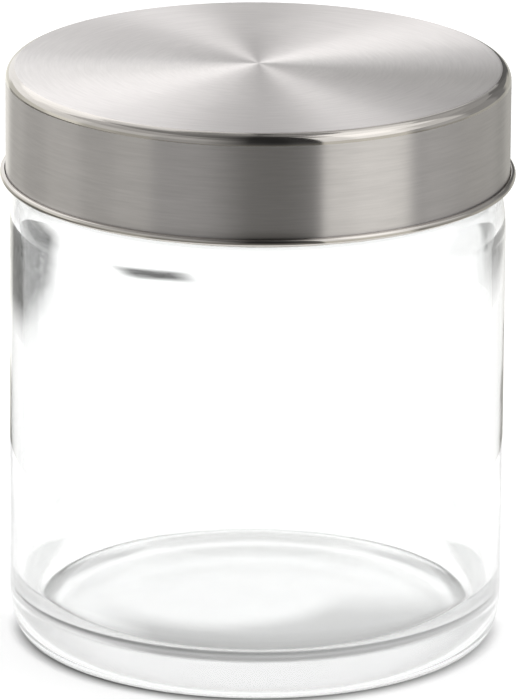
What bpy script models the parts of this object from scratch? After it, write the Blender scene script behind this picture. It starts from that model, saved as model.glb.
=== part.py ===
"""Candy jar: a round clear glass jar with a threaded neck, and a brushed steel screw lid.

Blender 4.5, metres, +Z up. The origin is at the middle of the ring that the jar stands on.
The lid is a drawn steel shell over a moulded screw insert, with a soft sealing ring in it.
It unscrews anticlockwise, seen from above, and rises by one thread lead in each turn.
"""

import math

import bmesh
import bpy

# Glass body
BODY_RADIUS = 0.0533
SIDE_HEIGHT = 0.0897
SIDE_WALL = 0.0028
SHOULDER_HEIGHT = 0.0126
HEEL_WIDTH = 0.0038
HEEL_HEIGHT = 0.0085
FOOT_WIDTH = 0.0045
BASE_HOLLOW = 0.0020
BASE_THICKNESS = 0.0060
FLOOR_CROWN = 0.0012
INNER_HEEL_RADIUS = 0.0085

# Glass neck
SHOULDER_STEP = 0.0040
NECK_WALL = 0.0032
LIP_ROUND = 0.0010
COLLAR_RISE = 0.0013
COLLAR_HEIGHT = 0.0024
COLLAR_DEPTH = 0.0008

# Screw thread, shared by the neck and the insert
THREAD_STARTS = 4
THREAD_DEPTH = 0.0016
GLASS_RIDGE_WIDTH = 0.0026
GLASS_RIDGE_SWEEP = math.radians(132)
INSERT_RIDGE_WIDTH = 0.0018
INSERT_RIDGE_SWEEP = math.radians(96)
RIDGE_ROOT = 0.0005
RIDGE_RUN_OUT = math.radians(24)
RIDGE_END_SHARE = 0.35
THREAD_DROP = 0.0035

# Clearances
SEAT_GAP = 0.0003
FLANK_GAP = 0.0003
CREST_GAP = 0.0006
COLLAR_GAP = 0.0010

# Lid
INSERT_WALL = 0.0019
INSERT_TOP = 0.0012
INSERT_LIFT = 0.0016
SHELL_GAUGE = 0.0004
SHELL_LAP = 0.0008
INNER_EDGE_RADIUS = 0.0021
BEAD_BORE = 0.0008
CURL_SWEEP = 280
SEAL_THICKNESS = 0.0016
SEAL_OVERHANG = 0.0015
SEAL_BEVEL = 0.0003
RIB_WIDTH = 0.0012
RIB_DROP = 0.0010

# How finely the round shapes are cut
SEGMENTS = 60
SEGMENT_ANGLE = 2 * math.pi / SEGMENTS
SMOOTH_STEP = 15
SMALL_STEP = 30
DOME_STEPS = 3
SHARP_ANGLE = math.radians(40)
MERGE_DISTANCE = 1e-6

# Thread heights, worked upwards from the shoulder
THREAD_PITCH = GLASS_RIDGE_WIDTH + INSERT_RIDGE_WIDTH + 2 * FLANK_GAP
THREAD_LEAD = THREAD_STARTS * THREAD_PITCH
CLIMB = THREAD_LEAD / (2 * math.pi)
SHOULDER_TOP = SIDE_HEIGHT + SHOULDER_HEIGHT
COLLAR_MIDDLE = SHOULDER_TOP + COLLAR_RISE + COLLAR_HEIGHT / 2
COLLAR_TOP = COLLAR_MIDDLE + COLLAR_HEIGHT / 2
INSERT_RIDGE_BOTTOM = COLLAR_TOP + COLLAR_GAP + INSERT_RIDGE_WIDTH / 2
GLASS_RIDGE_START = SEGMENT_ANGLE / 2
LEAD_IN = (GLASS_RIDGE_SWEEP - INSERT_RIDGE_SWEEP) / 2
INSERT_RIDGE_START = GLASS_RIDGE_START + LEAD_IN
GLASS_RIDGE_BOTTOM = INSERT_RIDGE_BOTTOM - CLIMB * LEAD_IN + THREAD_PITCH / 2
GLASS_RIDGE_TOP = GLASS_RIDGE_BOTTOM + CLIMB * GLASS_RIDGE_SWEEP
JAR_TOP = GLASS_RIDGE_TOP + GLASS_RIDGE_WIDTH / 2 + THREAD_DROP

# Glass profile
INSIDE_RADIUS = BODY_RADIUS - SIDE_WALL
NECK_RADIUS = BODY_RADIUS - SHOULDER_STEP
MOUTH_RADIUS = NECK_RADIUS - NECK_WALL
FOOT_OUTSIDE = BODY_RADIUS - HEEL_WIDTH
FOOT_INSIDE = FOOT_OUTSIDE - FOOT_WIDTH
FLOOR_EDGE = BASE_HOLLOW + BASE_THICKNESS - FLOOR_CROWN

# Lid, from the lip of the jar upwards and from the thread outwards
SEAL_BOTTOM = JAR_TOP + SEAT_GAP
INSERT_CEILING = SEAL_BOTTOM + SEAL_THICKNESS + SEAT_GAP
INSERT_ROOF = INSERT_CEILING + INSERT_TOP
SHELL_CEILING = INSERT_ROOF + SEAT_GAP
LID_TOP = SHELL_CEILING + SHELL_GAUGE
LID_BOTTOM = SHOULDER_TOP - SHELL_LAP
SKIRT_INSIDE = NECK_RADIUS + THREAD_DEPTH + CREST_GAP
SKIRT_OUTSIDE = SKIRT_INSIDE + INSERT_WALL
SHELL_INSIDE = SKIRT_OUTSIDE + SEAT_GAP
SHELL_RADIUS = SHELL_INSIDE + SHELL_GAUGE
SEAL_OUTSIDE = SKIRT_INSIDE - SEAT_GAP
SEAL_INSIDE = MOUTH_RADIUS - SEAL_OVERHANG


def clear_scene():
    """Removes every object of the scene that the script was started in."""
    for old in list(bpy.data.objects):
        bpy.data.objects.remove(old, do_unlink=True)


def material(name, colour, roughness, metallic=0.0, transmission=0.0):
    """A plain Principled material."""
    made = bpy.data.materials.new(name)
    made.use_nodes = True
    shader = made.node_tree.nodes["Principled BSDF"]
    shader.inputs["Base Color"].default_value = (*colour, 1.0)
    shader.inputs["Roughness"].default_value = roughness
    shader.inputs["Metallic"].default_value = metallic
    shader.inputs["Transmission Weight"].default_value = transmission
    made.diffuse_color = (*colour, 1.0)
    return made


def clear_glass():
    return material("clear_glass", (0.93, 0.96, 0.95), 0.02, transmission=1.0)


def brushed_steel():
    return material("brushed_steel", (0.62, 0.60, 0.57), 0.3, metallic=1.0)


def moulded_plastic():
    return material("moulded_plastic", (0.90, 0.90, 0.88), 0.45)


def soft_rubber():
    return material("soft_rubber", (0.86, 0.87, 0.85), 0.55)


def arc(centre, radii, start, end, step):
    """Points (radius, height) on an ellipse about centre, between two angles in degrees."""
    count = round(abs(end - start) / step)
    points = []
    for i in range(count + 1):
        angle = math.radians(start + (end - start) * i / count)
        across = centre[0] + radii[0] * math.cos(angle)
        up = centre[1] + radii[1] * math.sin(angle)
        points.append((across, up))
    return points


def dome(edge_radius, edge_height, rise):
    """Points of a shallow dome, from its middle out to its edge."""
    points = []
    for i in range(DOME_STEPS + 1):
        share = i / DOME_STEPS
        points.append((edge_radius * share, edge_height + rise * (1 - share**2)))
    return points


def turned(outline, ring=False):
    """A closed mesh from an outline of (radius, height) points, spun once round the Z axis.

    An outline that starts and ends on the axis makes a solid or a cup, and a ring is closed on itself.
    """
    shape = bmesh.new()
    corners = [shape.verts.new((across, 0.0, up)) for across, up in outline]
    edges = [shape.edges.new(pair) for pair in zip(corners, corners[1:])]
    if ring:
        edges.append(shape.edges.new((corners[-1], corners[0])))
    bmesh.ops.spin(
        shape,
        geom=corners + edges,
        cent=(0, 0, 0),
        axis=(0, 0, 1),
        angle=2 * math.pi,
        steps=SEGMENTS,
        use_merge=True,
    )
    bmesh.ops.remove_doubles(shape, verts=shape.verts, dist=MERGE_DISTANCE)
    bmesh.ops.recalc_face_normals(shape, faces=shape.faces)
    return shape


def thread_ridge(section, wall_radius, sweep, first_angle, first_height):
    """A closed ridge that climbs round the Z axis, tapering over its run-out at both ends.

    A section is a list of (depth from the wall, offset from the ridge's middle) points.
    """
    shape = bmesh.new()
    steps = round(sweep / SEGMENT_ANGLE)
    run_out = RIDGE_RUN_OUT / SEGMENT_ANGLE
    loops = []
    for step in range(steps + 1):
        turn = step * sweep / steps
        angle = first_angle + turn
        height = first_height + CLIMB * turn
        from_end = min(1.0, min(step, steps - step) / run_out)
        share = RIDGE_END_SHARE + (1 - RIDGE_END_SHARE) * from_end
        loop = []
        for depth, offset in section:
            radius = wall_radius + depth * share
            place = (radius * math.cos(angle), radius * math.sin(angle), height + offset * share)
            loop.append(shape.verts.new(place))
        loops.append(loop)
    for low, high in zip(loops, loops[1:]):
        for i, corner in enumerate(low):
            shape.faces.new((low[i - 1], corner, high[i], high[i - 1]))
    shape.faces.new(loops[0])
    shape.faces.new(loops[-1])
    bmesh.ops.recalc_face_normals(shape, faces=shape.faces)
    return shape


def glass_ridge_section():
    """The rounded ridge of the glass thread, with its root inside the wall of the neck."""
    half = GLASS_RIDGE_WIDTH / 2
    crest = arc((0.0, 0.0), (THREAD_DEPTH, half), -60, 60, SMALL_STEP)
    return [(-RIDGE_ROOT, -half), *crest, (-RIDGE_ROOT, half)]


def insert_ridge_section():
    """The flat-topped ridge of the moulded thread, which reaches inwards from the skirt."""
    half = INSERT_RIDGE_WIDTH / 2
    reach = THREAD_DEPTH
    return [(RIDGE_ROOT, -half), (-reach, -half / 2), (-reach, half / 2), (RIDGE_ROOT, half)]


def piece(name, shape, dress, parent=None, height=0.0):
    """An object from a finished bmesh, standing at a height on its parent's axis."""
    mesh = bpy.data.meshes.new(name)
    shape.to_mesh(mesh)
    shape.free()
    mesh.shade_smooth()
    mesh.set_sharp_from_angle(angle=SHARP_ANGLE)
    mesh.materials.append(dress)
    made = bpy.data.objects.new(name, mesh)
    made.location = (0, 0, height)
    made.parent = parent
    bpy.context.scene.collection.objects.link(made)
    return made


def unite_ridges(body, section, wall_radius, sweep, first_angle, first_height):
    """Unites one ridge for each start of the thread with its body."""
    for start in range(THREAD_STARTS):
        angle = first_angle + start * 2 * math.pi / THREAD_STARTS
        shape = thread_ridge(section, wall_radius, sweep, angle, first_height)
        dress = body.data.materials[0]
        ridge = piece(f"{body.name}_ridge_{start}", shape, dress, body.parent, body.location.z)
        ridge.hide_render = True
        ridge.display_type = "WIRE"
        union = body.modifiers.new(f"ridge_{start}", "BOOLEAN")
        union.operation = "UNION"
        union.solver = "EXACT"
        union.object = ridge


def glass_outside():
    """Outline of the jar's outer skin, from the middle of its hollow foot to the lip."""
    lip = (NECK_RADIUS - LIP_ROUND, JAR_TOP - LIP_ROUND)
    shoulder = (SHOULDER_STEP, SHOULDER_HEIGHT)
    collar = (COLLAR_DEPTH, COLLAR_HEIGHT / 2)
    outline = dome(FOOT_INSIDE, 0.0, BASE_HOLLOW)
    outline += arc((FOOT_OUTSIDE, HEEL_HEIGHT), (HEEL_WIDTH, HEEL_HEIGHT), -90, 0, SMOOTH_STEP)
    outline += arc((NECK_RADIUS, SIDE_HEIGHT), shoulder, 0, 90, SMOOTH_STEP)
    outline += arc((NECK_RADIUS, COLLAR_MIDDLE), collar, -90, 90, SMALL_STEP)
    outline += arc(lip, (LIP_ROUND, LIP_ROUND), 0, 90, SMALL_STEP)
    return outline


def glass_inside():
    """Outline of the jar's inner skin, from the lip down to the middle of the floor."""
    lip = (MOUTH_RADIUS + LIP_ROUND, JAR_TOP - LIP_ROUND)
    shoulder = (INSIDE_RADIUS - MOUTH_RADIUS, SHOULDER_HEIGHT - SIDE_WALL)
    heel = (INSIDE_RADIUS - INNER_HEEL_RADIUS, FLOOR_EDGE + INNER_HEEL_RADIUS)
    rounding = (INNER_HEEL_RADIUS, INNER_HEEL_RADIUS)
    floor = dome(heel[0], FLOOR_EDGE, FLOOR_CROWN)
    outline = arc(lip, (LIP_ROUND, LIP_ROUND), 90, 180, SMALL_STEP)
    outline += arc((MOUTH_RADIUS, SIDE_HEIGHT), shoulder, 90, 0, SMOOTH_STEP)
    outline += arc(heel, rounding, 0, -90, SMOOTH_STEP)
    outline += floor[-2::-1]
    return outline


def glass_jar():
    """The jar: hollow foot, thick floor, straight side, round shoulder and threaded neck."""
    jar = piece("glass_jar", turned(glass_outside() + glass_inside()), clear_glass())
    section = glass_ridge_section()
    sweep = GLASS_RIDGE_SWEEP
    unite_ridges(jar, section, NECK_RADIUS, sweep, GLASS_RIDGE_START, GLASS_RIDGE_BOTTOM)


def sealing_ring():
    """The soft ring that the lid presses on the lip of the jar, with its edges eased."""
    bevel = SEAL_BEVEL
    outline = [
        (SEAL_INSIDE, bevel),
        (SEAL_INSIDE + bevel, 0.0),
        (SEAL_OUTSIDE - bevel, 0.0),
        (SEAL_OUTSIDE, bevel),
        (SEAL_OUTSIDE, SEAL_THICKNESS - bevel),
        (SEAL_OUTSIDE - bevel, SEAL_THICKNESS),
        (SEAL_INSIDE + bevel, SEAL_THICKNESS),
        (SEAL_INSIDE, SEAL_THICKNESS - bevel),
    ]
    piece("sealing_ring", turned(outline, ring=True), soft_rubber(), height=SEAL_BOTTOM)


def screw_insert(lid):
    """The moulded cap in the shell: a disc, a threaded skirt and a rib that centres the ring."""
    ceiling = INSERT_CEILING - LID_BOTTOM
    roof = INSERT_ROOF - LID_BOTTOM
    rib_outside = SEAL_INSIDE - SEAT_GAP
    rib_inside = rib_outside - RIB_WIDTH
    edge = (SKIRT_OUTSIDE - INNER_EDGE_RADIUS, roof - INNER_EDGE_RADIUS)
    outline = [
        (0.0, ceiling),
        (rib_inside, ceiling),
        (rib_inside, ceiling - RIB_DROP),
        (rib_outside, ceiling - RIB_DROP),
        (rib_outside, ceiling),
        (SKIRT_INSIDE, ceiling),
        (SKIRT_INSIDE, INSERT_LIFT),
        (SKIRT_OUTSIDE, INSERT_LIFT),
    ]
    outline += arc(edge, (INNER_EDGE_RADIUS, INNER_EDGE_RADIUS), 0, 90, SMALL_STEP)
    outline.append((0.0, roof))
    insert = piece("screw_insert", turned(outline), moulded_plastic(), lid)
    height = INSERT_RIDGE_BOTTOM - LID_BOTTOM
    section = insert_ridge_section()
    sweep = INSERT_RIDGE_SWEEP
    unite_ridges(insert, section, SKIRT_INSIDE, sweep, INSERT_RIDGE_START, height)


def lid_shell(lid):
    """The drawn steel cap, with a rounded edge above and an open curl rolled round its foot."""
    top = LID_TOP - LID_BOTTOM
    bore = BEAD_BORE / 2
    bead = bore + SHELL_GAUGE
    curl = (SHELL_INSIDE + bead, bead)
    curl_end = CURL_SWEEP - 180
    outer_edge = INNER_EDGE_RADIUS + SHELL_GAUGE
    edge = (SHELL_RADIUS - outer_edge, top - outer_edge)
    outline = [(0.0, top)]
    outline += arc(edge, (outer_edge, outer_edge), 90, 0, SMOOTH_STEP)
    outline += arc(curl, (bore, bore), -180, curl_end, SMALL_STEP)
    outline += arc(curl, (bead, bead), curl_end, -180, SMALL_STEP)
    outline += arc(edge, (INNER_EDGE_RADIUS, INNER_EDGE_RADIUS), 0, 90, SMALL_STEP)
    outline.append((0.0, top - SHELL_GAUGE))
    piece("lid_shell", turned(outline), brushed_steel(), lid)


def lid_axis():
    """The empty on the screw axis that the steel shell and the insert turn with."""
    axis = bpy.data.objects.new("lid_axis", None)
    axis.location = (0, 0, LID_BOTTOM)
    bpy.context.scene.collection.objects.link(axis)
    return axis


def main():
    clear_scene()
    glass_jar()
    sealing_ring()
    lid = lid_axis()
    screw_insert(lid)
    lid_shell(lid)


main()
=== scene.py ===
"""Looks of a candy jar with a spun steel screw lid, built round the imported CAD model.

Blender 4.5, metres, +Z up. Each sub-assembly is a class that models its pieces with Blender's own
modelling tools and dresses them in a finish. The studio round the jar is built last.
"""

import logging
import math
from dataclasses import dataclass
from enum import Enum

import bpy
from mathutils import Matrix, Vector

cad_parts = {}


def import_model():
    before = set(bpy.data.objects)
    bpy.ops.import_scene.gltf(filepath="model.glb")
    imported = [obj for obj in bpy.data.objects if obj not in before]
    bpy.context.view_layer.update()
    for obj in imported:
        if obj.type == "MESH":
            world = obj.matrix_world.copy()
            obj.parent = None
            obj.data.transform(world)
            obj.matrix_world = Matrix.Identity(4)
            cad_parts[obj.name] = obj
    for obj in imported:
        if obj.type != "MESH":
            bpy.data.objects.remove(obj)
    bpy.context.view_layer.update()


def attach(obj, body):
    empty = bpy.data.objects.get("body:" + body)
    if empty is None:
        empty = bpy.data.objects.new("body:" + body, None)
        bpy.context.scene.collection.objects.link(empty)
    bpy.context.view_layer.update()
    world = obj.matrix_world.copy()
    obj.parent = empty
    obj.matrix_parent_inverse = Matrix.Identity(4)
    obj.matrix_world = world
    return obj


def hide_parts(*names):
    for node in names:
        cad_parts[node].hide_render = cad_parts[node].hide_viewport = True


log = logging.getLogger("candy_jar")

Point = tuple[float, float]
Span = tuple[float, float]
Outline = list[Point]
Point3 = tuple[float, float, float]
Colour = tuple[float, float, float]
Piece = bpy.types.Object
Node = bpy.types.Node
Socket = bpy.types.NodeSocket

MERGE_DISTANCE = 1e-6
SMALLEST_RADIUS = 1e-5
WIDE_NOISE: Span = (0.3, 0.7)
NARROW_NOISE: Span = (0.35, 0.65)
PICTURE_HEIGHT = 700
FILM_SIZE = 36.0


class Body(Enum):
    """The bodies of the CAD model that a piece can ride on."""

    JAR = "jar"
    SEAL = "seal"
    LID = "lid"


class Slot(Enum):
    """The material slots of the record."""

    GLASS = "clear_glass"
    STEEL = "brushed_steel"
    PLASTIC = "moulded_plastic"
    RUBBER = "soft_rubber"


def arc(centre: Point, radii: Point, start: float, end: float, count: int) -> Outline:
    """Points on an ellipse in the plane of an outline.

    Args:
        centre: Radius and height of the middle of the ellipse.
        radii: Half width and half height of the ellipse.
        start: First angle in degrees, from the outward direction.
        end: Last angle in degrees.
        count: Number of straight steps between them.

    Returns:
        The points from start to end, as radius and height.
    """
    points = []
    for i in range(count + 1):
        angle = math.radians(start + (end - start) * i / count)
        across = centre[0] + radii[0] * math.cos(angle)
        points.append((across, centre[1] + radii[1] * math.sin(angle)))
    return points


def dome(edge_radius: float, edge_height: float, rise: float, count: int) -> Outline:
    """Points of a shallow dome, from its middle, which has this rise, out to its edge."""
    shares = [i / count for i in range(count + 1)]
    return [(edge_radius * share, edge_height + rise * (1 - share**2)) for share in shares]


class Bench:
    """The modelling moves that the pieces share, each made with Blender's operators."""

    @staticmethod
    def draw(name: str, outline: Outline, closed: bool = False) -> Piece:
        """Draws an outline of edges in the XZ plane, corner by corner.

        Args:
            name: Name of the new object.
            outline: Corners as radius and height.
            closed: True to join the last corner to the first.

        Returns:
            The new object, in edit mode with the whole outline selected.
        """
        bpy.ops.object.select_all(action="DESELECT")
        bpy.ops.mesh.primitive_plane_add(size=2 * MERGE_DISTANCE, location=(0, 0, 0))
        made = bpy.context.active_object
        made.name = name
        made.data.name = name
        bpy.ops.object.mode_set(mode="EDIT")
        bpy.ops.mesh.merge(type="CENTER")
        bpy.ops.transform.translate(value=(outline[0][0], 0, outline[0][1]))
        corners = [*outline, outline[0]] if closed else outline
        for (x0, z0), (x1, z1) in zip(corners, corners[1:]):
            bpy.ops.mesh.extrude_region_move(
                TRANSFORM_OT_translate={"value": (x1 - x0, 0, z1 - z0)}
            )
        bpy.ops.mesh.select_all(action="SELECT")
        if closed:
            bpy.ops.mesh.remove_doubles(threshold=MERGE_DISTANCE)
        return made

    @staticmethod
    def turn(
        name: str, outline: Outline, steps: int, closed: bool = False, angle: float = 2 * math.pi
    ) -> Piece:
        """Turns an outline round the Z axis, as on a lathe.

        Args:
            name: Name of the new object.
            outline: Corners as radius and height.
            steps: Number of facets round the axis.
            closed: True for a ring, whose outline is closed on itself.
            angle: How far round it goes.

        Returns:
            The new object, in object mode, with its faces outwards.
        """
        made = Bench.draw(name, outline, closed)
        bpy.ops.mesh.spin(
            steps=steps, angle=angle, use_auto_merge=True, center=(0, 0, 0), axis=(0, 0, 1)
        )
        bpy.ops.mesh.select_all(action="SELECT")
        bpy.ops.mesh.remove_doubles(threshold=MERGE_DISTANCE)
        bpy.ops.mesh.normals_make_consistent(inside=False)
        bpy.ops.object.mode_set(mode="OBJECT")
        return made

    @staticmethod
    def smooth(piece: Piece, sharp_over: float) -> None:
        """Shades a piece smooth, with its edges sharp over an angle in degrees."""
        bpy.ops.object.select_all(action="DESELECT")
        piece.select_set(True)
        bpy.context.view_layer.objects.active = piece
        bpy.ops.object.shade_smooth_by_angle(angle=math.radians(sharp_over))

    @staticmethod
    def unite(piece: Piece, others: list[Piece]) -> None:
        """Unites other closed pieces with a piece and takes them away.

        Args:
            piece: The piece that stays.
            others: The pieces that it takes in.
        """
        for other in others:
            bpy.context.view_layer.objects.active = piece
            union = piece.modifiers.new(other.name, "BOOLEAN")
            union.operation = "UNION"
            union.solver = "EXACT"
            union.object = other
            bpy.ops.object.modifier_apply(modifier=union.name)
            bpy.data.objects.remove(other, do_unlink=True)


@dataclass(frozen=True)
class Thread:
    """A screw thread of several starts, with the run-out at each end of its ridges."""

    starts: int = 4
    lead: float = 0.020
    run_out: float = math.radians(24)
    end_share: float = 0.35
    step: float = math.radians(3)

    def ridges(
        self, name: str, section: Outline, wall: float, sweep: float, angle: float, height: float
    ) -> list[Piece]:
        """Sweeps a section up round the axis once for each start.

        Args:
            name: Name that the ridges start with.
            section: Corners as depth from the wall and height from the ridge's middle.
            wall: Radius of the wall that the ridge stands on.
            sweep: How far round each ridge goes, in radians.
            angle: Where the first ridge starts.
            height: Height of the ridge's middle at its start.

        Returns:
            The closed ridges.
        """
        steps = round(sweep / self.step)
        shares = []
        for i in range(steps + 1):
            from_end = min(1.0, min(i, steps - i) * self.step / self.run_out)
            shares.append(self.end_share + (1 - self.end_share) * from_end)
        first = [(wall + depth * shares[0], offset * shares[0]) for depth, offset in section]
        ridge = Bench.draw(f"{name}_0", first, closed=True)
        bpy.ops.mesh.edge_face_add()
        turn, rise = sweep / steps, self.lead / (2 * math.pi) * sweep / steps
        for i in range(steps):
            bpy.ops.mesh.extrude_region_move(TRANSFORM_OT_translate={"value": (0, 0, rise)})
            bpy.ops.transform.rotate(
                value=-turn, orient_axis="Z", orient_type="GLOBAL", center_override=(0, 0, 0)
            )
            here = (wall * math.cos((i + 1) * turn), wall * math.sin((i + 1) * turn))
            grow = shares[i + 1] / shares[i]
            bpy.ops.transform.resize(
                value=(grow, grow, grow), center_override=(*here, (i + 1) * rise)
            )
        bpy.ops.mesh.select_all(action="SELECT")
        bpy.ops.mesh.normals_make_consistent(inside=False)
        bpy.ops.object.mode_set(mode="OBJECT")
        ridge.data.transform(Matrix.Translation((0, 0, height)) @ Matrix.Rotation(angle, 4, "Z"))
        made = [ridge]
        for start in range(1, self.starts):
            other = ridge.copy()
            other.data = ridge.data.copy()
            other.name = f"{name}_{start}"
            bpy.context.scene.collection.objects.link(other)
            other.data.transform(Matrix.Rotation(2 * math.pi * start / self.starts, 4, "Z"))
            made.append(other)
        return made


class Graph:
    """A short way to add and link the nodes of one node tree."""

    def __init__(self, tree: bpy.types.NodeTree) -> None:
        """Takes the node tree to build in."""
        self.tree = tree

    def node(self, kind: str, inputs: dict | None = None, **settings: object) -> Node:
        """Adds a node.

        Args:
            kind: Blender's name of the node type.
            inputs: Values or sockets for its inputs, by name or number.
            settings: Properties of the node.

        Returns:
            The new node.
        """
        made = self.tree.nodes.new(kind)
        for name, value in settings.items():
            setattr(made, name, value)
        return self.fill(made, inputs or {})

    def fill(self, node: Node, inputs: dict) -> Node:
        """Fills the inputs of a node.

        Args:
            node: The node.
            inputs: Values or sockets for its inputs, by name or number.

        Returns:
            The node.
        """
        for key, value in inputs.items():
            if isinstance(value, Socket):
                self.tree.links.new(value, node.inputs[key])
            else:
                node.inputs[key].default_value = value
        return node

    def maths(self, operation: str, *values: object) -> Socket:
        """Adds a Math node for an operation on numbers or sockets, and gives its result."""
        inputs = dict(enumerate(values))
        return self.node("ShaderNodeMath", inputs, operation=operation).outputs[0]

    def ramp(self, value: Socket, low: tuple, high: tuple) -> Socket:
        """Maps a value by two pairs of before and after, and clamps it between them."""
        inputs = {0: value, 1: low[0], 2: high[0], 3: low[1], 4: high[1]}
        return self.node("ShaderNodeMapRange", inputs).outputs[0]

    def mix(self, share: object, first: object, second: object) -> Socket:
        """Mixes two colours by the share of the second one, from 0 to 1."""
        inputs = {0: share, 6: first, 7: second}
        return self.node("ShaderNodeMix", inputs, data_type="RGBA").outputs[2]

    def product(self, *values: object) -> Socket:
        """Multiplies numbers or sockets together."""
        result = values[0]
        for value in values[1:]:
            result = self.maths("MULTIPLY", result, value)
        return result

    def fade(self, value: Socket, span: Span) -> Socket:
        """Maps a value to 1 where a span starts, down to 0 where it ends."""
        return self.ramp(value, (span[0], 1.0), (span[1], 0.0))

    def rise(self, value: Socket, span: Span) -> Socket:
        """Maps a value to 0 where a span starts, up to 1 where it ends."""
        return self.ramp(value, (span[0], 0.0), (span[1], 1.0))

    def place(self) -> Socket:
        """Adds the place on the piece, in the piece's own coordinates."""
        return self.node("ShaderNodeTexCoord").outputs["Object"]

    def split(self, place: Socket) -> list[Socket]:
        """Splits a place into its X, Y and Z."""
        return list(self.node("ShaderNodeSeparateXYZ", {0: place}).outputs)

    def radius(self, place: Socket) -> Socket:
        """Measures how far a place is from the Z axis."""
        flat = self.node("ShaderNodeVectorMath", {0: place, 1: (1, 1, 0)}, operation="MULTIPLY")
        length = self.node("ShaderNodeVectorMath", {0: flat.outputs[0]}, operation="LENGTH")
        return length.outputs["Value"]

    def noise(self, place: Socket, scale: float, detail: float) -> Socket:
        """Adds a noise texture that is read at a place, and gives its value."""
        inputs = {"Vector": place, "Scale": scale, "Detail": detail}
        return self.node("ShaderNodeTexNoise", inputs).outputs[0]

    def shades(self, mask: Socket, span: Span, colour: Colour, shares: Span) -> Socket:
        """Mixes two shades of a colour, the first below a span of the mask, the second above."""
        first, second = ((*(share * part for part in colour), 1) for share in shares)
        return self.mix(self.rise(mask, span), first, second)

    def seen(self, path: Node) -> Socket:
        """Tells rays that see a surface from rays that only light it.

        Args:
            path: The tree's Light Path node.

        Returns:
            1 for camera, glossy and transmission rays, and 0 for others.
        """
        rays = path.outputs
        seen = self.maths("MAXIMUM", rays["Is Camera Ray"], rays["Is Glossy Ray"])
        return self.maths("MAXIMUM", seen, rays["Is Transmission Ray"])

    def surface(self, shader: Node) -> None:
        """Links a shader to the material's output."""
        self.fill(self.tree.nodes["Material Output"], {"Surface": shader.outputs[0]})


def new_material(name: str) -> tuple[bpy.types.Material, Graph]:
    """Makes a material, and the graph that builds its nodes."""
    made = bpy.data.materials.new(name)
    made.use_nodes = True
    return made, Graph(made.node_tree)


def hide(piece: Piece, *kinds: str) -> None:
    """Hides an object from kinds of rays, by Blender's names for them."""
    for kind in kinds:
        setattr(piece, f"visible_{kind}", False)


def turned_grain() -> bpy.types.NodeTree:
    """The group of fine lines that brushing leaves round the axis of a turned piece."""
    tree = bpy.data.node_groups.get("turned_grain")
    if tree:
        return tree
    tree = bpy.data.node_groups.new("turned_grain", "ShaderNodeTree")
    for name in ("Line Pitch", "Streak"):
        tree.interface.new_socket(name, in_out="INPUT", socket_type="NodeSocketFloat")
    for name in ("Lines", "Patches"):
        tree.interface.new_socket(name, in_out="OUTPUT", socket_type="NodeSocketFloat")
    graph = Graph(tree)
    given = graph.node("NodeGroupInput")
    place = graph.place()
    x, y, z = graph.split(place)
    radius = graph.radius(place)
    along = graph.maths("DIVIDE", graph.maths("SUBTRACT", radius, z), given.outputs["Line Pitch"])
    off = graph.maths("MAXIMUM", radius, SMALLEST_RADIUS)
    streak = given.outputs["Streak"]
    round_x = graph.product(graph.maths("DIVIDE", x, off), streak)
    round_y = graph.product(graph.maths("DIVIDE", y, off), streak)
    where = graph.node("ShaderNodeCombineXYZ", {0: round_x, 1: round_y, 2: along}).outputs[0]
    octaves = {"Vector": where, "Scale": 1.0, "Detail": 4.0, "Roughness": 0.65}
    lines = graph.node("ShaderNodeTexNoise", octaves).outputs[0]
    patches = graph.noise(place, scale=45.0, detail=3.0)
    graph.node("NodeGroupOutput", {"Lines": lines, "Patches": patches})
    return tree


class Finish:
    """A finish: one material with its own nodes."""

    name: str

    def build(self) -> bpy.types.Material:
        """Makes the material, or returns it if it is there already."""
        made = bpy.data.materials.get(self.name)
        if made is None:
            made, graph = new_material(self.name)
            self.dress(graph, graph.tree.nodes["Principled BSDF"])
        return made

    def dress(self, graph: Graph, shader: Node) -> None:
        """Sets the shader and links its nodes.

        Args:
            graph: The material's node tree.
            shader: Its Principled BSDF.
        """
        raise NotImplementedError


@dataclass(frozen=True)
class TurnedSteel(Finish):
    """Steel with fine lines round the axis of the lid."""

    name: str
    colour: Colour
    shares: Span
    roughness: Span
    line_pitch: float = 0.0005
    streak: float = 2.0

    def dress(self, graph: Graph, shader: Node) -> None:
        """Sets the shader and links its nodes."""
        given = {"Line Pitch": self.line_pitch, "Streak": self.streak}
        lines, patches = graph.node("ShaderNodeGroup", given, node_tree=turned_grain()).outputs
        tone = graph.shades(lines, WIDE_NOISE, self.colour, self.shares)
        rough = graph.ramp(patches, *zip(WIDE_NOISE, self.roughness))
        graph.fill(shader, {"Metallic": 1.0, "Base Color": tone, "Roughness": rough})


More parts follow.
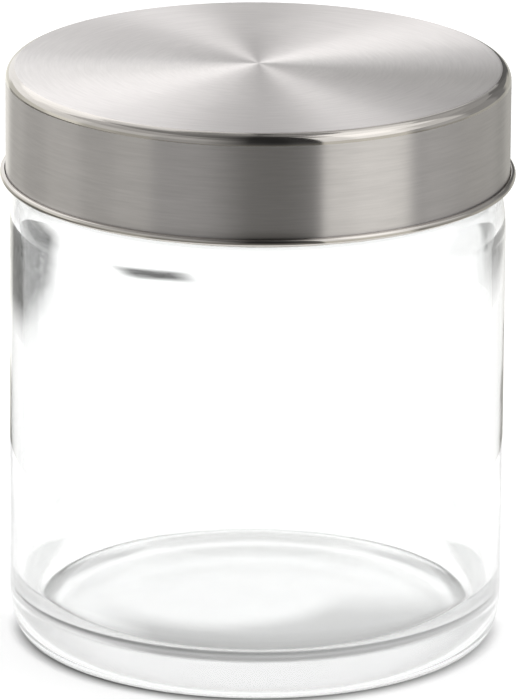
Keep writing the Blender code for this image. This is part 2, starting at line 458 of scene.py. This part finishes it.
@dataclass(frozen=True)
class SpunSteel(TurnedSteel):
    """Steel brushed in fine rings round a point close to the axis of the lid."""

    name: str = "spun_steel"
    colour: Colour = (0.645, 0.62, 0.613)
    shares: Span = (0.935, 1.055)
    roughness: Span = (0.31, 0.35)
    line_pitch: float = 0.0006
    streak: float = 5.0
    stretch: float = 1.0
    turn: float = 0.25
    middle: Span = (0.0, 0.0021)

    def dress(self, graph: Graph, shader: Node) -> None:
        """Sets the shader and links its nodes."""
        super().dress(graph, shader)
        stretch = {"Anisotropic": self.stretch, "Anisotropic Rotation": self.turn}
        graph.fill(shader, stretch | {"Tangent": self.brushed(graph)})

    def brushed(self, graph: Graph) -> Socket:
        """Finds which way the brush went, round the middle of the brushing.

        Args:
            graph: The material's node tree.

        Returns:
            The direction of the lines.
        """
        x, y, _ = graph.split(graph.place())
        right = graph.maths("SUBTRACT", x, self.middle[0])
        back = graph.maths("SUBTRACT", self.middle[1], y)
        along = graph.node("ShaderNodeCombineXYZ", {0: back, 1: right}).outputs[0]
        turned = graph.node(
            "ShaderNodeVectorTransform", {0: along}, vector_type="VECTOR",
            convert_from="OBJECT", convert_to="WORLD",
        )
        unit = graph.node("ShaderNodeVectorMath", {0: turned.outputs[0]}, operation="NORMALIZE")
        return unit.outputs[0]


@dataclass(frozen=True)
class BrightCurl(TurnedSteel):
    """Steel pressed smooth by the tools, on the corner and the bead and inside the cap."""

    name: str = "bright_curl"
    colour: Colour = (0.60, 0.57, 0.535)
    shares: Span = (0.93, 1.0)
    roughness: Span = (0.05, 0.13)


@dataclass(frozen=True)
class ClearGlass(Finish):
    """Pressed soda-lime glass, almost colourless, a little wavy."""

    name: str = "pressed_glass"
    colour: Colour = (0.985, 0.99, 0.988)
    index: float = 1.5
    passing: Colour = (0.97, 0.97, 0.97)
    wave_scale: float = 60.0
    wave_strength: float = 0.15
    wave_depth: float = 0.0004
    haze_scale: float = 20.0
    haze_span: Span = (0.4, 0.8)
    haze_most: float = 0.03
    base_height: Span = (0.0112, 0.016)
    base_radius: Span = (0.04848, 0.0505)
    base_hollow: Span = (0.0022, 0.0044)
    base_haze: Span = (0.24, 0.01)

    def dress(self, graph: Graph, shader: Node) -> None:
        """Sets the shader and links its nodes."""
        place = graph.place()
        waves = {"Height": graph.noise(place, self.wave_scale, detail=1.0)}
        waves |= {"Strength": self.wave_strength, "Distance": self.wave_depth}
        haze = graph.noise(place, self.haze_scale, detail=3.0)
        rough = graph.ramp(haze, *zip(self.haze_span, (0.0, self.haze_most)))
        height = graph.split(place)[2]
        low = graph.product(
            graph.ramp(graph.radius(place), *zip(self.base_radius, self.base_haze)),
            graph.fade(height, self.base_height),
            graph.rise(height, self.base_hollow),
        )
        graph.fill(shader, {
            "Base Color": (*self.colour, 1),
            "Transmission Weight": 1.0,
            "IOR": self.index,
            "Normal": graph.node("ShaderNodeBump", waves).outputs[0],
            "Roughness": graph.maths("MAXIMUM", rough, low),
        })
        self.let_light_through(graph, shader)

    def let_light_through(self, graph: Graph, shader: Node) -> None:
        """Lets the lamps light what stands behind the glass, a little dimmed by each skin.

        Args:
            graph: The material's node tree.
            shader: Its Principled BSDF.
        """
        shadow = graph.node("ShaderNodeLightPath").outputs["Is Shadow Ray"]
        passing = graph.node("ShaderNodeBsdfTransparent", {"Color": (*self.passing, 1)})
        both = {0: shadow, 1: shader.outputs[0], 2: passing.outputs[0]}
        graph.surface(graph.node("ShaderNodeMixShader", both))


@dataclass(frozen=True)
class MouldedPlastic(Finish):
    """White moulded plastic with a fine matt grain."""

    name: str = "white_moulding"
    colour: Colour = (0.84, 0.84, 0.82)
    flow_scale: float = 35.0
    grain_scale: float = 900.0
    grain_strength: float = 0.2
    grain_depth: float = 0.00005
    roughness: Span = (0.38, 0.52)
    shares: Span = (0.95, 1.0)
    glow: float = 0.1
    glow_reach: float = 0.002

    def dress(self, graph: Graph, shader: Node) -> None:
        """Sets the shader and links its nodes."""
        place = graph.place()
        flow = graph.noise(place, self.flow_scale, detail=3.0)
        grain = graph.noise(place, self.grain_scale, detail=2.0)
        pits = {"Height": grain, "Strength": self.grain_strength, "Distance": self.grain_depth}
        graph.fill(shader, {
            "Base Color": graph.shades(flow, NARROW_NOISE, self.colour, self.shares),
            "Roughness": graph.ramp(grain, *zip(WIDE_NOISE, self.roughness)),
            "Normal": graph.node("ShaderNodeBump", pits).outputs[0],
            "Subsurface Weight": self.glow,
            "Subsurface Radius": (self.glow_reach, self.glow_reach, self.glow_reach),
        })


@dataclass(frozen=True)
class SoftRubber(Finish):
    """Pale soft rubber with a talc bloom."""

    name: str = "pale_rubber"
    colour: Colour = (0.80, 0.81, 0.79)
    bloom_scale: float = 160.0
    shares: Span = (0.92, 1.0)
    roughness: Span = (0.5, 0.7)

    def dress(self, graph: Graph, shader: Node) -> None:
        """Sets the shader and links its nodes."""
        bloom = graph.noise(graph.place(), self.bloom_scale, detail=4.0)
        tone = graph.shades(bloom, NARROW_NOISE, self.colour, self.shares)
        rough = graph.ramp(bloom, *zip(WIDE_NOISE, self.roughness))
        graph.fill(shader, {"Base Color": tone, "Roughness": rough})


@dataclass
class GlassJar:
    """The pressed glass jar, with a hollow foot, a thick floor and a threaded neck."""

    body_radius: float = 0.0533
    side_height: float = 0.0897
    side_wall: float = 0.0028
    shoulder_height: float = 0.0126
    shoulder_step: float = 0.0040
    heel_width: float = 0.0038
    heel_height: float = 0.0085
    foot_width: float = 0.0045
    base_hollow: float = 0.0020
    floor_edge: float = 0.0068
    floor_crown: float = 0.0012
    inner_heel: float = 0.0085
    neck_wall: float = 0.0032
    lip_round: float = 0.0010
    collar_middle: float = 0.1048
    collar_height: float = 0.0024
    collar_depth: float = 0.0008
    top: float = 0.121533
    ridge_width: float = 0.0026
    ridge_depth: float = 0.0016
    ridge_root: float = 0.0005
    ridge_sweep: float = math.radians(132)
    ridge_start: float = math.radians(3)
    ridge_bottom: float = 0.1094
    crest_half: float = 60.0
    dome_steps: int = 10
    round_steps: int = 18
    collar_steps: int = 12
    small_steps: int = 8
    facets: int = 180
    sharp_over: float = 35.0

    @property
    def neck_radius(self) -> float:
        """Outer radius of the neck."""
        return self.body_radius - self.shoulder_step

    def outside(self) -> Outline:
        """Outline of the outer skin, from the middle of the hollow foot to the lip."""
        foot = self.body_radius - self.heel_width
        neck = self.neck_radius
        lip = (neck - self.lip_round, self.top - self.lip_round)
        shoulder = (self.shoulder_step, self.shoulder_height)
        collar = (self.collar_depth, self.collar_height / 2)
        heel = (self.heel_width, self.heel_height)
        outline = dome(foot - self.foot_width, 0.0, self.base_hollow, self.dome_steps)
        outline += arc((foot, self.heel_height), heel, -90, 0, self.round_steps)
        outline += arc((neck, self.side_height), shoulder, 0, 90, self.round_steps)
        outline += arc((neck, self.collar_middle), collar, -90, 90, self.collar_steps)
        outline += arc(lip, (self.lip_round, self.lip_round), 0, 90, self.small_steps)
        return outline

    def inside(self) -> Outline:
        """Outline of the inner skin, from the lip down to the middle of the floor."""
        mouth = self.neck_radius - self.neck_wall
        inner = self.body_radius - self.side_wall
        lip = (mouth + self.lip_round, self.top - self.lip_round)
        shoulder = (inner - mouth, self.shoulder_height - self.side_wall)
        heel = (inner - self.inner_heel, self.floor_edge + self.inner_heel)
        floor = dome(heel[0], self.floor_edge, self.floor_crown, self.dome_steps)
        outline = arc(lip, (self.lip_round, self.lip_round), 90, 180, self.small_steps)
        outline += arc((mouth, self.side_height), shoulder, 90, 0, self.round_steps)
        outline += arc(heel, (self.inner_heel, self.inner_heel), 0, -90, self.round_steps)
        return outline + floor[-2::-1]

    def thread_section(self) -> Outline:
        """Section of the rounded glass ridge, with its root inside the neck's wall."""
        half = self.ridge_width / 2
        crest = arc(
            (0.0, 0.0), (self.ridge_depth, half), -self.crest_half, self.crest_half,
            self.small_steps,
        )
        return [(-self.ridge_root, -half), *crest, (-self.ridge_root, half)]

    def build(self, thread: Thread) -> list[Piece]:
        """Models and dresses the jar.

        Args:
            thread: The screw thread that the neck carries.

        Returns:
            The finished pieces.
        """
        jar = Bench.turn("glass_body", self.outside() + self.inside(), self.facets)
        ridges = thread.ridges(
            "glass_ridge", self.thread_section(), self.neck_radius, self.ridge_sweep,
            self.ridge_start, self.ridge_bottom,
        )
        Bench.unite(jar, ridges)
        Bench.smooth(jar, self.sharp_over)
        jar.data.materials.append(ClearGlass().build())
        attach(jar, Body.JAR.value)
        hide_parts("glass_jar")
        return [jar]


@dataclass
class SealingRing:
    """The soft ring between the lip of the jar and the lid."""

    inside: float = 0.0446
    outside: float = 0.0512
    bottom: float = 0.121833
    thickness: float = 0.0016
    edge: float = 0.0003
    round_steps: int = 4
    facets: int = 144
    sharp_over: float = 50.0

    def build(self) -> list[Piece]:
        """Models and dresses the ring, and returns it in a list."""
        low, high = self.bottom + self.edge, self.bottom + self.thickness - self.edge
        near, far = self.inside + self.edge, self.outside - self.edge
        outline = []
        for number, centre in enumerate(((near, low), (far, low), (far, high), (near, high))):
            start = 180 + 90 * number
            outline += arc(centre, (self.edge, self.edge), start, start + 90, self.round_steps)
        ring = Bench.turn("soft_ring", outline, self.facets, closed=True)
        Bench.smooth(ring, self.sharp_over)
        ring.data.materials.append(SoftRubber().build())
        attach(ring, Body.SEAL.value)
        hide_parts("sealing_ring")
        return [ring]


@dataclass
class ScrewLid:
    """The lid: a drawn steel cap with a rolled bead, over a moulded screw insert."""

    bottom: float = 0.1015
    top: float = 0.125633
    shell_inside: float = 0.0537
    gauge: float = 0.0004
    edge_radius: float = 0.0021
    bead_bore: float = 0.0004
    insert_inside: float = 0.0515
    insert_outside: float = 0.0534
    insert_bottom: float = 0.1031
    insert_ceiling: float = 0.123733
    insert_roof: float = 0.124933
    rib_inside: float = 0.0431
    rib_outside: float = 0.0443
    rib_drop: float = 0.0010
    ridge_width: float = 0.0018
    ridge_depth: float = 0.0016
    ridge_root: float = 0.0005
    ridge_sweep: float = math.radians(96)
    ridge_start: float = math.radians(21)
    ridge_bottom: float = 0.1079
    curl_start: float = 100.0
    curl_end: float = -180.0
    corner_steps: int = 14
    inner_steps: int = 10
    bead_steps: int = 28
    bore_steps: int = 20
    roof_steps: int = 8
    facets: int = 192
    insert_facets: int = 144
    sharp_over: float = 40.0
    inner_tilt: float = 0.02
    corner_tilt: Span = (0.02, 0.985)

    def cap_outline(self) -> Outline:
        """Outline of the steel cap: over its outside, round the bead and back inside."""
        outer = self.edge_radius + self.gauge
        bead = self.bead_bore + self.gauge
        curl = (self.shell_inside + bead, self.bottom + bead)
        edge = (self.shell_inside + self.gauge - outer, self.top - outer)
        bore = (self.bead_bore, self.bead_bore)
        outline = [(0.0, self.top)]
        outline += arc(edge, (outer, outer), 90, 0, self.corner_steps)
        outline += arc(curl, bore, self.curl_end, self.curl_start, self.bore_steps)
        outline += arc(curl, (bead, bead), self.curl_start, self.curl_end, self.bead_steps)
        outline += arc(edge, (self.edge_radius, self.edge_radius), 0, 90, self.inner_steps)
        outline.append((0.0, self.top - self.gauge))
        return outline

    def insert_outline(self) -> Outline:
        """Outline of the moulded insert: ceiling, rib, skirt and roof."""
        edge = (self.insert_outside - self.edge_radius, self.insert_roof - self.edge_radius)
        drop = self.insert_ceiling - self.rib_drop
        outline = [
            (0.0, self.insert_ceiling),
            (self.rib_inside, self.insert_ceiling),
            (self.rib_inside, drop),
            (self.rib_outside, drop),
            (self.rib_outside, self.insert_ceiling),
            (self.insert_inside, self.insert_ceiling),
            (self.insert_inside, self.insert_bottom),
            (self.insert_outside, self.insert_bottom),
        ]
        outline += arc(edge, (self.edge_radius, self.edge_radius), 0, 90, self.roof_steps)
        outline.append((0.0, self.insert_roof))
        return outline

    def thread_section(self) -> Outline:
        """Section of the insert's flat-topped ridge, which reaches inwards."""
        half, reach, root = self.ridge_width / 2, self.ridge_depth, self.ridge_root
        return [(root, -half), (-reach, -half / 2), (-reach, half / 2), (root, half)]

    def cap(self) -> Piece:
        """Models and dresses the steel cap."""
        cap = Bench.turn("steel_cap", self.cap_outline(), self.facets)
        Bench.smooth(cap, self.sharp_over)
        cap.data.materials.append(SpunSteel().build())
        cap.data.materials.append(BrightCurl().build())
        bead_top = self.bottom + 2 * (self.bead_bore + self.gauge)
        corner = self.top - self.edge_radius - self.gauge
        for face in cap.data.polygons:
            outwards = face.center.x * face.normal.x + face.center.y * face.normal.y
            inner = outwards < 0 or face.normal.z < -self.inner_tilt
            tilted = self.corner_tilt[0] < face.normal.z < self.corner_tilt[1]
            rounded = face.center.z > corner and tilted
            face.material_index = int(face.center.z < bead_top or inner or rounded)
        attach(cap, Body.LID.value)
        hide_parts("lid_shell")
        return cap

    def insert(self, thread: Thread) -> Piece:
        """Models and dresses the screw insert.

        Args:
            thread: The screw thread that it carries.

        Returns:
            The finished piece.
        """
        insert = Bench.turn("moulded_insert", self.insert_outline(), self.insert_facets)
        ridges = thread.ridges(
            "insert_ridge", self.thread_section(), self.insert_inside, self.ridge_sweep,
            self.ridge_start, self.ridge_bottom,
        )
        Bench.unite(insert, ridges)
        Bench.smooth(insert, self.sharp_over)
        insert.data.materials.append(MouldedPlastic().build())
        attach(insert, Body.LID.value)
        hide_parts("screw_insert")
        return insert

    def build(self, thread: Thread) -> list[Piece]:
        """Models and dresses the lid's pieces on the thread, and returns them."""
        return [self.cap(), self.insert(thread)]


@dataclass(frozen=True)
class Card:
    """A curved reflection card that stands in a sector round the jar, seen only in reflections.

    Its sector is in degrees from the camera's side, positive to the right. It lies on the table
    up to the jar and stands to the zenith. Each step is the elevation up to which a tone goes.
    Over its last degrees it fades into the card that follows.
    """

    name: str
    start: float
    end: float
    steps: tuple[tuple[float, float], ...]
    fade: float = 5.0


@dataclass(frozen=True)
class Board:
    """A dark board on the table beside the jar, out of the picture and seen only through the glass.

    Its middle, half width and soft edge are in degrees, from the camera's side. It starts at the
    near radius, is dark from the next one and ends at the far one. Beside is how far it stays clear
    of the camera's line through the jar, to each side.
    """

    name: str
    middle: float
    half: float
    near: float
    dark_from: float
    tone: float
    far: float
    soft: float = 3.0
    beside: float = 0.0
    lift: float = 0.001


@dataclass(frozen=True)
class Lamp:
    """A square soft lamp that faces the jar, with a face this bright, where 1 is white."""

    name: str
    place: Point3
    size: float
    radiance: float


@dataclass
class Studio:
    """The white floor, the lamps, the reflection cards, the dark boards and the camera."""

    distance: float = 1.84993
    height: float = 0.63913
    yaw: float = math.radians(0.0155)
    pitch: float = math.radians(17.3263)
    roll: float = math.radians(0.3836)
    focal_pixels: float = 8984.53
    floor_size: float = 12.0
    floor_drop: float = 0.0002
    floor_colour: Colour = (0.80, 0.80, 0.80)
    floor_glow: float = 0.40
    # Painted shade on the floor: a contact shadow round the front of the foot, and a crescent under
    # the base.
    foot_radius: float = 0.0495
    crease_width: float = 0.0046
    crease_power: float = 1.3
    crease_right: float = 0.7
    painted_contact_shadow: float = 0.95
    crease_back: Span = (-0.006, 0.012)
    bright_middle: Span = (-0.008, 0.012)
    bright_radius: Span = (0.023, 0.030)
    painted_crescent_shade: float = 0.55
    crescent_back: Span = (-0.006, 0.010)
    crescent_left: Span = (-0.036, -0.022)
    crescent_rim: Span = (0.044, 0.048)
    room_light: float = 0.72
    bounces: int = 32
    card_reach: float = 0.80
    card_middle: float = 0.06
    card_foot: float = 0.14
    card_lift: float = 0.2
    card_rows: int = 24
    facet_angle: int = 3
    fewest_facets: int = 4
    card_tint: Colour = (1.01, 1.0, 0.93)
    tinted_to: float = 16.0
    brightest: float = 4.0
    cards: tuple[Card, ...] = (
        Card("back_box", -178.2, -165.5, (
            (-10, 1.15), (12, 0.74), (26, 1.24), (41, 2.05), (55, 1.1), (72, 0.6), (90, 0.25))),
        Card("back_left_box", -165.5, -146, (
            (-4, 1.1), (6, 0.95), (26, 1.2), (50, 1.62), (66, 1.1), (90, 0.35))),
        Card("left_back_box", -146, -125, (
            (-4, 0.4), (12, 0.75), (28, 1.28), (54, 1.52), (72, 0.95), (90, 0.35))),
        Card("left_box_edge", -125, -104, (
            (-4, 0.22), (12, 0.82), (34, 1.15), (55, 1.32), (72, 0.79), (90, 0.22))),
        Card("left_wall", -104, -81.5, (
            (-4, 0.24), (12, 1.05), (34, 1), (55, 0.67), (72, 0.38), (90, 0.45))),
        Card("left_flag", -81.5, -62.5, (
            (-4, 0.34), (14, 0.6), (34, 0.76), (55, 0.56), (72, 0.29), (90, 0.25))),
        Card("left_panel", -62.5, -44, (
            (-8, 0.34), (14, 0.51), (34, 0.72), (55, 0.55), (72, 0.29), (90, 0.25))),
        Card("front_left_panel", -44, -27, (
            (-2, 0.31), (20, 0.45), (38, 0.6), (55, 0.42), (72, 0.2), (90, 0.2))),
        Card("front_left_edge", -27, -4, (
            (-2, 0.31), (20, 0.44), (38, 0.52), (55, 0.3), (72, 0.16), (90, 0.2)), 20),
        Card("front_flag_left", -4, 6, (
            (-2, 0.23), (8, 0.12), (22, 0.07), (45, 0.04), (75, 0.03), (90, 0.08)), 10),
        Card("front_flag", 6, 17, (
            (-2, 0.215), (8, 0.09), (22, 0.05), (45, 0.03), (75, 0.03), (90, 0.08))),
        Card("front_flag_right", 17, 28.3, (
            (-2, 0.22), (8, 0.13), (22, 0.08), (45, 0.05), (75, 0.04), (90, 0.1)), 1),
        Card("right_box_edge", 28.3, 46, (
            (-5, 0.54), (15, 0.78), (35, 1.1), (55, 1.15), (72, 0.5), (90, 0.2))),
        Card("right_box", 46, 72, (
            (-5, 0.58), (15, 0.84), (35, 1.4), (55, 1.66), (72, 1.4), (90, 0.25))),
        Card("right_box_end", 72, 80.5, (
            (0, 0.33), (18, 0.46), (42, 1.15), (55, 1.57), (72, 1.42), (90, 0.6))),
        Card("right_flag", 80.5, 107, (
            (0, 0.44), (18, 0.55), (42, 0.84), (55, 1.26), (72, 1.45), (90, 0.45))),
        Card("right_wall", 107, 134, (
            (0, 0.56), (26, 0.38), (40, 0.44), (55, 0.55), (72, 1.05), (90, 0.26))),
        Card("right_wall_end", 134, 147, (
            (0, 0.5), (26, 0.24), (40, 0.44), (55, 0.55), (72, 1), (90, 0.26))),
        Card("back_right_wall", 147, 160, (
            (-4, 0.6), (12, 0.55), (30, 0.2), (55, 0.4), (72, 0.8), (90, 0.25))),
        Card("back_flag", 160, 176.1, (
            (-10, 1.15), (4, 0.62), (24, 0.14), (34, 0.5), (55, 0.8), (72, 0.45), (90, 0.2))),
        Card("backdrop", 176.1, 181.8, (
            (16, 1.08), (24, 0.88), (34, 1.45), (45, 1.9), (58, 0.62), (90, 0.14)), 0),
    )
    boards: tuple[Board, ...] = (
        Board("left_board", -143, 28, 0.230, 0.262, 0.08, far=0.60, beside=0.072),
        Board("right_board", 146, 28, 0.268, 0.310, 0.25, far=0.60, beside=0.108),
        Board("left_block", -174.0, 2.6, 0.266, 0.280, 0.04, far=0.316, soft=1.4, lift=0.0016),
    )
    board_end: float = 0.015
    board_side: float = 0.012
    mottle_scale: float = 120.0
    mottle_span: Span = (0.3, 0.6)
    mottle_share: Span = (0.8, 1.0)
    table_tone: float = 1.15
    # A pool of light painted into the floor's glow under the base, reaching further at the back.
    painted_glow_under_base: float = 0.33
    under_inner: float = 0.8
    under_reach: Span = (0.046, 0.062)
    under_from: Span = (-0.010, 0.015)
    lamps: tuple[Lamp, ...] = (
        Lamp("left_softbox", (-1.2, 0.25, 0.9), 0.9, 3.0),
        Lamp("top_softbox", (0.45, 0.15, 1.2), 0.8, 1.5),
    )
    aim: Point3 = (0.0, 0.0, 0.06)

    def floor(self) -> None:
        """Lays the pale floor: it keeps the jar's shadow and has shade and light painted in."""
        bpy.ops.object.select_all(action="DESELECT")
        bpy.ops.mesh.primitive_plane_add(size=self.floor_size, location=(0, 0, -self.floor_drop))
        floor = bpy.context.active_object
        floor.name = "floor"
        made, graph = new_material("pale_floor")
        # The painted shade darkens the floor's colour and glow; painted light adds to its glow
        # under the base.
        shade = self.painted_floor_shade(graph)
        strength = graph.maths("ADD", self.floor_glow, self.painted_pool_of_light(graph))
        open_share = graph.maths("SUBTRACT", 1.0, shade)
        seen = graph.seen(graph.node("ShaderNodeLightPath"))
        graph.fill(graph.tree.nodes["Principled BSDF"], {
            "Roughness": 1.0,
            "Specular IOR Level": 0.0,
            "Base Color": graph.mix(shade, (*self.floor_colour, 1), (0, 0, 0, 1)),
            "Emission Color": (1, 1, 1, 1),
            "Emission Strength": graph.product(seen, strength, open_share),
        })
        floor.data.materials.append(made)

    def painted_floor_shade(self, graph: Graph) -> Socket:
        """Paints a contact shadow along the front of the heel, and a crescent of shade under the
        base.

        Args:
            graph: The floor's node tree.

        Returns:
            How much the painted shade darkens the floor there, from 0 to 1.
        """
        place = graph.place()
        x, y, _ = graph.split(place)
        radius = graph.radius(place)
        off = graph.maths("ABSOLUTE", graph.maths("SUBTRACT", radius, self.foot_radius))
        near = graph.fade(off, (0.0, self.crease_width))
        # Painted contact shadow just outside the foot, weaker to the right and gone at the back.
        thin = graph.product(
            graph.maths("POWER", near, self.crease_power),
            graph.ramp(x, (-self.foot_radius, 1.0), (self.foot_radius, self.crease_right)),
            graph.fade(y, self.crease_back),
            self.painted_contact_shadow,
        )
        middle = {0: place, 1: (*self.bright_middle, 0)}
        far = graph.node("ShaderNodeVectorMath", middle, operation="DISTANCE").outputs["Value"]
        # Painted crescent of shade on the floor under the front of the base.
        wide = graph.product(
            graph.rise(far, self.bright_radius),
            graph.fade(y, self.crescent_back),
            graph.rise(x, self.crescent_left),
            graph.fade(radius, self.crescent_rim),
            self.painted_crescent_shade,
        )
        return graph.maths("MAXIMUM", thin, wide)

    def painted_pool_of_light(self, graph: Graph) -> Socket:
        """Paints a pool of light into the floor's glow under the clear base.

        Args:
            graph: The floor's node tree.

        Returns:
            How much painted light the floor's glow gains there.
        """
        place = graph.place()
        edge = graph.ramp(graph.split(place)[1], *zip(self.under_from, self.under_reach))
        inner = graph.product(edge, self.under_inner)
        return graph.ramp(graph.radius(place), (inner, self.painted_glow_under_base), (edge, 0.0))

    def card(self, card: Card, after: Card) -> None:
        """Stands one reflection card round the jar.

        Args:
            card: Its sector and its tones.
            after: The card that follows it.
        """
        reach = (self.card_reach, self.card_reach)
        low = self.card_lift - math.degrees(math.asin(self.card_middle / self.card_reach))
        outline = arc((0.0, self.card_middle), reach, low, 90, self.card_rows)
        outline.insert(0, (self.card_foot, outline[0][1]))
        self.panel(card.name, outline, (card.start, card.end), self.card_dress(card, after))

    def card_dress(self, card: Card, after: Card) -> bpy.types.Material:
        """Makes the stepped glow of a card, with its fade into the next one.

        Args:
            card: The card that it is for.
            after: The card that follows it.

        Returns:
            The material.
        """
        dress, graph = new_material(card.name)
        x, y, height = graph.split(graph.place())
        colour = self.card_steps(graph, height, card)
        if card.fade:
            here = graph.maths("ARCTAN2", x, graph.product(y, -1.0))
            last = (math.radians(card.end - card.fade), math.radians(card.end))
            following = self.card_steps(graph, height, after)
            colour = graph.mix(graph.rise(here, last), colour, following)
        light = {"Color": colour, "Strength": self.brightest}
        graph.surface(graph.node("ShaderNodeEmission", light))
        return dress

    def card_steps(self, graph: Graph, height: Socket, card: Card) -> Socket:
        """Turns height on the sphere of cards into the tones of a card.

        Args:
            graph: The node tree to build in.
            height: Height above the floor.
            card: The card whose tones they are.

        Returns:
            The tone, as a share of the brightest.
        """
        ends = (self.card_middle - self.card_reach, self.card_middle + self.card_reach)
        steps = graph.node("ShaderNodeValToRGB", {0: graph.rise(height, ends)})
        steps.color_ramp.interpolation = "CONSTANT"
        start = 0.0
        for number, (top, tone) in enumerate(card.steps):
            points = steps.color_ramp.elements
            point = points[number] if number < 2 else points.new(start)
            point.position = start
            tint = self.card_tint if top <= self.tinted_to else (1.0, 1.0, 1.0)
            point.color = (*(tone * part / self.brightest for part in tint), 1)
            start = (1 + math.sin(math.radians(top))) / 2
        return steps.outputs[0]

    def panel(self, name: str, outline: Outline, sector: Span, dress: bpy.types.Material) -> Piece:
        """Turns one panel of a sector, seen only in reflections.

        Args:
            name: Its name.
            outline: Its outline as radius and height.
            sector: Where it starts and ends, in degrees from the camera's side.
            dress: Its material.

        Returns:
            The panel.
        """
        wide = sector[1] - sector[0]
        facets = max(self.fewest_facets, round(wide) // self.facet_angle)
        made = Bench.turn(name, outline, facets, angle=math.radians(wide))
        made.data.transform(Matrix.Rotation(math.radians(sector[1] - 90), 4, "Z"))
        made.data.materials.append(dress)
        hide(made, "camera", "diffuse", "transmission", "shadow")
        return made

    def board(self, board: Board) -> None:
        """Lays a soft-edged dark board on the table, which only refraction shows.

        Args:
            board: Its sector, its radii and its tone.
        """
        dress, graph = new_material(board.name)
        place = graph.place()
        x, y, _ = graph.split(place)
        reach = graph.radius(place)
        middle = math.radians(board.middle)
        ahead = graph.product(x, math.sin(middle))
        ahead = graph.maths("SUBTRACT", ahead, graph.product(y, math.cos(middle)))
        outer = math.cos(math.radians(board.half))
        inner = math.cos(math.radians(board.half - board.soft))
        beside = (board.beside, board.beside + self.board_side)
        mottle = graph.noise(place, self.mottle_scale, detail=3.0)
        shade = graph.product(
            graph.rise(graph.maths("DIVIDE", ahead, reach), (outer, inner)),
            graph.ramp(reach, (board.near, 0.0), (board.dark_from, 1 - board.tone)),
            graph.fade(reach, (board.far - self.board_end, board.far)),
            graph.rise(graph.maths("ABSOLUTE", x), beside),
            graph.ramp(mottle, *zip(self.mottle_span, self.mottle_share)),
        )
        strength = graph.product(graph.maths("SUBTRACT", 1.0, shade), self.table_tone)
        graph.surface(graph.node("ShaderNodeEmission", {"Strength": strength}))
        outline = [(board.near, board.lift), (board.far, board.lift)]
        sector = (board.middle - board.half, board.middle + board.half)
        made = self.panel(board.name, outline, sector, dress)
        hide(made, "glossy")
        made.visible_transmission = True

    def lamp(self, lamp: Lamp) -> None:
        """Hangs a soft lamp and turns its face to the jar.

        Args:
            lamp: Its place, its size and how bright it is.
        """
        data = bpy.data.lights.new(lamp.name, "AREA")
        data.size = lamp.size
        data.energy = lamp.radiance * math.pi * lamp.size**2
        made = bpy.data.objects.new(lamp.name, data)
        made.location = lamp.place
        aim = Vector(self.aim) - Vector(lamp.place)
        made.rotation_euler = aim.to_track_quat("-Z", "Y").to_euler()
        hide(made, "camera", "glossy", "transmission")
        bpy.context.scene.collection.objects.link(made)

    def world(self) -> None:
        """Sets a white world, softer for the light that it gives than for what is seen in it."""
        made = bpy.data.worlds.new("studio")
        bpy.context.scene.world = made
        made.use_nodes = True
        graph = Graph(made.node_tree)
        path = graph.node("ShaderNodeLightPath")
        seen = graph.seen(path)
        second_hand = graph.maths("MINIMUM", path.outputs["Diffuse Depth"], 1.0)
        fresh = graph.maths("SUBTRACT", 1.0, graph.product(seen, second_hand))
        plain = graph.ramp(seen, (0.0, self.room_light), (1.0, 1.0))
        light = {"Color": (1, 1, 1, 1), "Strength": graph.product(plain, fresh)}
        graph.fill(graph.tree.nodes["Background"], light)

    def camera(self) -> None:
        """Puts the camera where the picture was taken from."""
        data = bpy.data.cameras.new("camera")
        data.lens = self.focal_pixels / PICTURE_HEIGHT * FILM_SIZE
        camera = bpy.data.objects.new("camera", data)
        turned = Matrix.Rotation(-self.yaw, 4, "Z")
        turned @= Matrix.Rotation(math.pi / 2 - self.pitch, 4, "X")
        turned @= Matrix.Rotation(self.roll, 4, "Z")
        camera.matrix_world = Matrix.Translation((0, -self.distance, self.height)) @ turned
        bpy.context.scene.collection.objects.link(camera)
        bpy.context.scene.camera = camera

    def build(self) -> None:
        """Sets up the whole studio."""
        self.floor()
        for card, after in zip(self.cards, self.cards[1:] + self.cards[:1]):
            self.card(card, after)
        for board in self.boards:
            self.board(board)
        for lamp in self.lamps:
            self.lamp(lamp)
        self.world()
        self.camera()
        scene = bpy.context.scene
        scene.view_settings.view_transform = "Standard"
        scene.cycles.max_bounces = self.bounces
        scene.cycles.glossy_bounces = self.bounces
        scene.cycles.transmission_bounces = self.bounces


def main() -> None:
    """Builds every sub-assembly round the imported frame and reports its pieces."""
    logging.basicConfig(level=logging.INFO, format="%(name)s: %(message)s")
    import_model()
    thread = Thread()
    for part in (GlassJar().build(thread), SealingRing().build(), ScrewLid().build(thread)):
        for piece in part:
            log.info("%s: %d faces", piece.name, len(piece.data.polygons))
    Studio().build()


if __name__ == "__main__":
    main()
